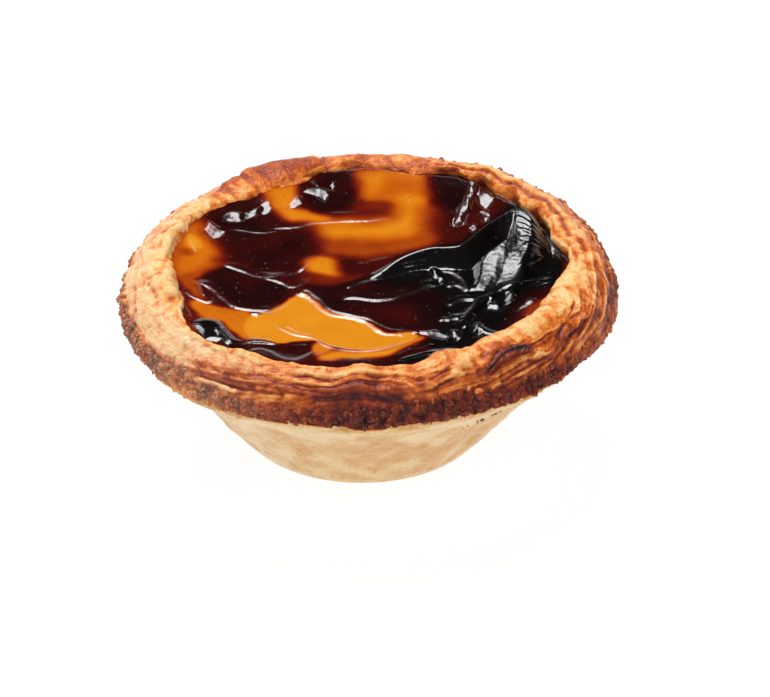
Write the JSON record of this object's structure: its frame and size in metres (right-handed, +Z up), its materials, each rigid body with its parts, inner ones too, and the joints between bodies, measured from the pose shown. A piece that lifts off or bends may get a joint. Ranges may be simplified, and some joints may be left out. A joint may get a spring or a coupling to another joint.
{
  "type": "portuguese custard tart",
  "caption": "Round custard tart: a flared cup of laminated pastry with a browned, uneven rim, filled to the lip with set custard whose skin is scorched, pooled and blistered.",
  "frame": {"origin": "on the surface that the tart stands on, under the middle of its outline", "axes": "+Z up through the custard, +Y away from the side that is seen first, +X to that side's right"},
  "size_m": [0.0763, 0.0762, 0.0311],
  "materials": {
    "pastry": "baked, dry and flaky",
    "custard": "set custard with a wet, caramelised skin"
  },
  "bodies": {
    "root": {"pastry_case": "pastry", "custard_filling": "custard"}
  },
  "joints": []
}
